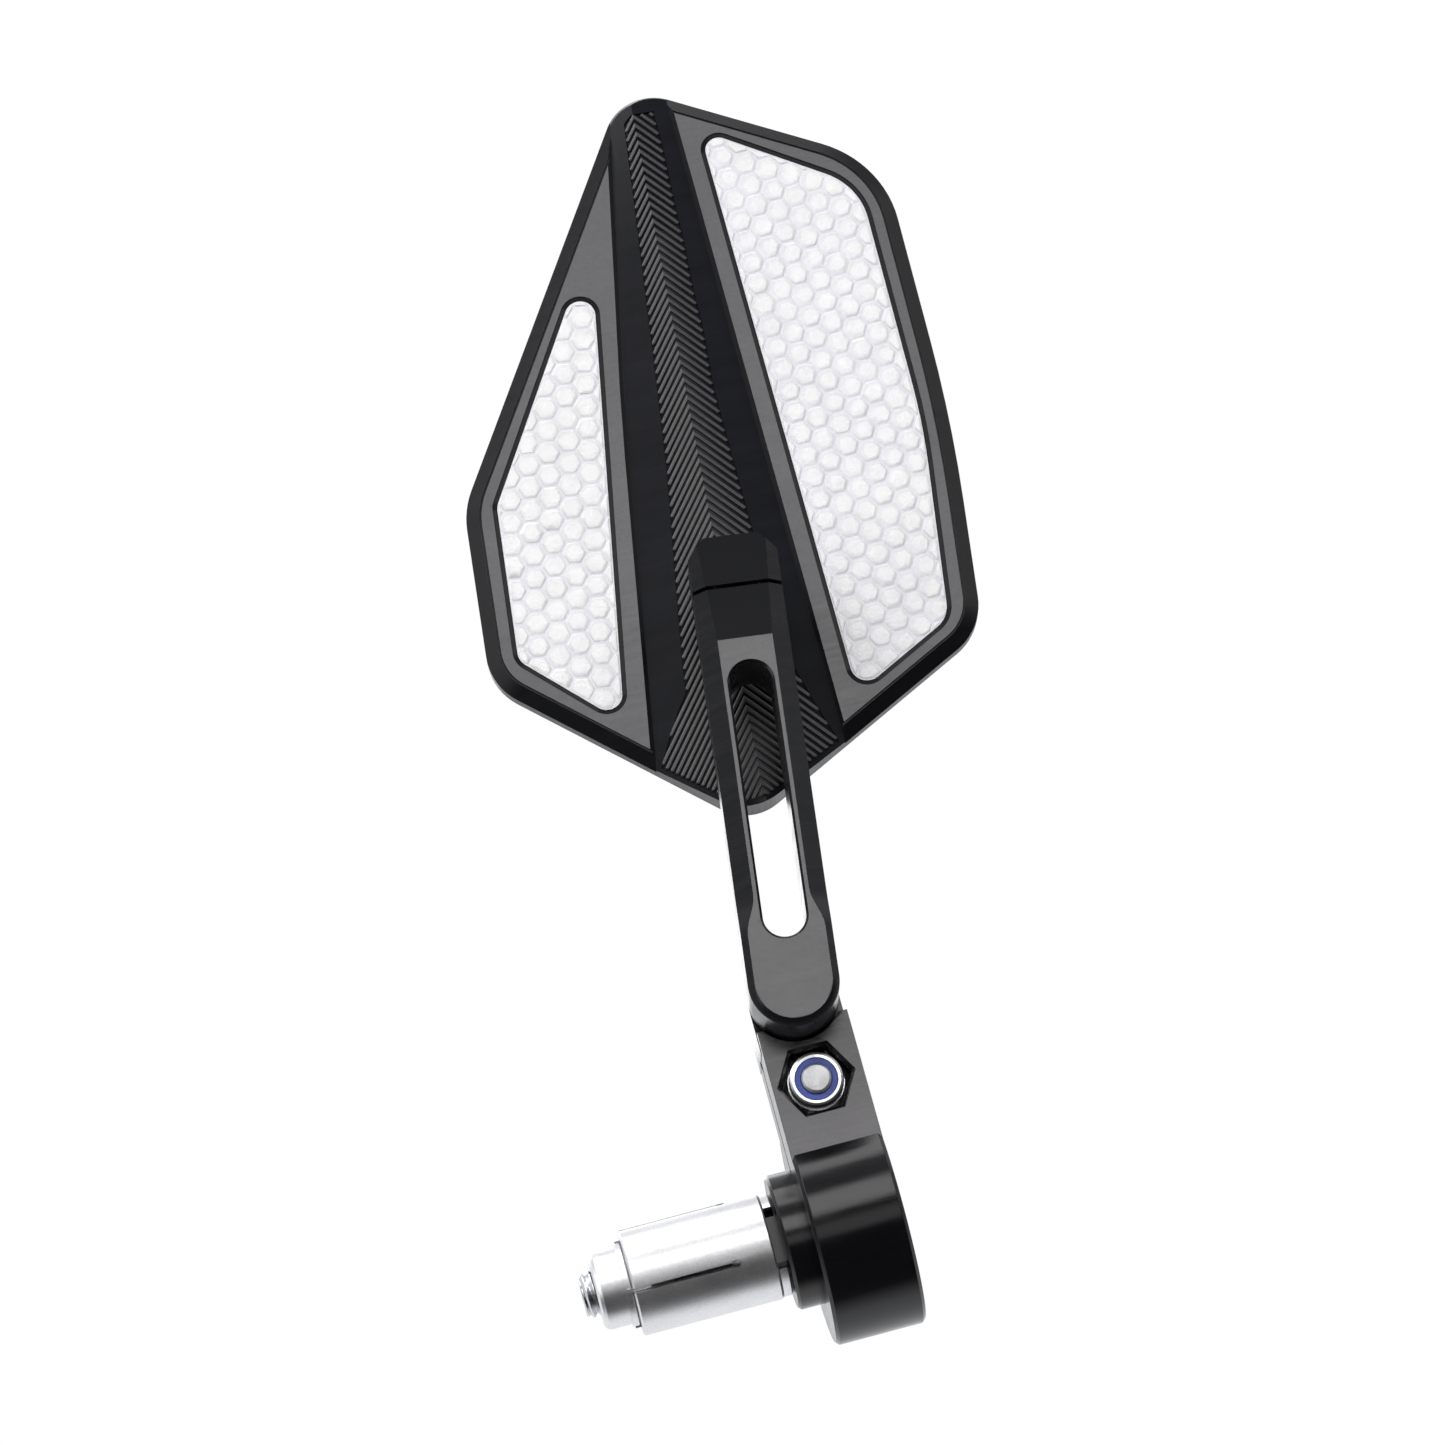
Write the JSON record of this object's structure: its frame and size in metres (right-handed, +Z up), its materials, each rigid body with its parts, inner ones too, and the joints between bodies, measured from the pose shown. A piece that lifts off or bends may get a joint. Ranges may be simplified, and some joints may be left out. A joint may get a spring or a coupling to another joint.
{
  "type": "bar_end_mirror",
  "caption": "Black folding bar-end mirror for a bicycle or motorcycle: expanding bar plug, clamp ring, slotted arm, ball joint, angular head with ribbed back and white reflectors",
  "frame": {"origin": "on the handlebar axis, in the plane of the insert's inner end next to the collar", "axes": "X along the handlebar axis with the insert pointing to -X, Z up along the clamp bracket, the glass faces +Y and the reflectors face -Y"},
  "size_m": [0.1017, 0.0448, 0.2231],
  "materials": {
    "black_anodised": "black anodised, fine satin bead-blasted surface with faint tooling streaks",
    "raw_aluminium": "plain machined aluminium, lightly blasted",
    "zinc_steel": "bright zinc-plated steel",
    "black_steel": "black oxide steel, satin",
    "polished_steel": "polished stainless steel",
    "blue_nylon": "blue nylon locking ring",
    "black_nylon": "black nylon",
    "foam_pad": "closed-cell foam tape",
    "mirror_glass": "flat silvered glass with ground edge",
    "reflective_film": "white prismatic reflective film with sealed honeycomb cells",
    "film_adhesive": "clear pressure-sensitive adhesive"
  },
  "bodies": {
    "bar_plug": {"bar_end_hub": "black_anodised", "outer_cone": "raw_aluminium", "expansion_sleeve": "raw_aluminium"},
    "expander_bolt": {"expander_bolt": "zinc_steel", "expander_bolt_washer": "zinc_steel"},
    "cone_nut": {"cone_nut": "raw_aluminium"},
    "clamp": {"clamp_bracket": "black_anodised", "clamp_bolt": "zinc_steel", "clamp_bolt_washer": "zinc_steel", "lock_nut": "zinc_steel", "lock_nut_nylon_ring": "blue_nylon"},
    "arm": {"arm": "black_anodised", "ball_clamp_cap": "black_anodised", "cap_screws": "black_steel", "pivot_bolt": "black_steel", "pivot_spring_washer": "zinc_steel", "pivot_friction_washer": "black_nylon"},
    "ball_liner": {"ball_liner": "black_nylon"},
    "ball_stud": {"ball_stud": "polished_steel", "stud_screw": "black_steel"},
    "head": {"head_shell": "black_anodised", "glass_foam_pad": "foam_pad", "mirror_glass": "mirror_glass", "reflector_left": "reflective_film", "reflector_right": "reflective_film", "reflector_adhesive_left": "film_adhesive", "reflector_adhesive_right": "film_adhesive"}
  },
  "joints": [
    {"name": "clamp_rotation", "type": "hinge", "parent": "bar_plug", "child": "clamp", "pos_m": [0.01445, 0, 0], "axis": [1, 0, 0], "continuous": true},
    {"name": "arm_pivot", "type": "hinge", "parent": "clamp", "child": "arm", "pos_m": [0.0142, -0.0126, 0.0373], "axis": [0, 1, 0], "range_deg": [-58, 44]},
    {"name": "head_yaw", "type": "hinge", "parent": "arm", "child": "ball_liner", "pos_m": [0.02288, -0.0151, 0.1057], "axis": [0.1259, 0, 0.992], "range_deg": [-8, 8]},
    {"name": "head_tilt", "type": "hinge", "parent": "ball_liner", "child": "ball_stud", "pos_m": [0.02288, -0.0151, 0.1057], "axis": [1, 0, 0], "range_deg": [-3, 10]},
    {"name": "head_spin", "type": "hinge", "parent": "ball_stud", "child": "head", "pos_m": [0.02288, -0.0151, 0.1057], "axis": [0, 1, 0], "range_deg": [-20, 20]},
    {"name": "expander_turn", "type": "hinge", "parent": "bar_plug", "child": "expander_bolt", "pos_m": [0, 0, 0], "axis": [1, 0, 0], "range_deg": [0, 720]},
    {"name": "cone_nut_slide", "type": "slide", "parent": "bar_plug", "child": "cone_nut", "axis": [-1, 0, 0], "range_m": [0, 0.0026]}
  ],
  "couplings": [
    {"joint": "cone_nut_slide", "follows": "expander_turn", "m_per_rad": 0.00019894}
  ]
}
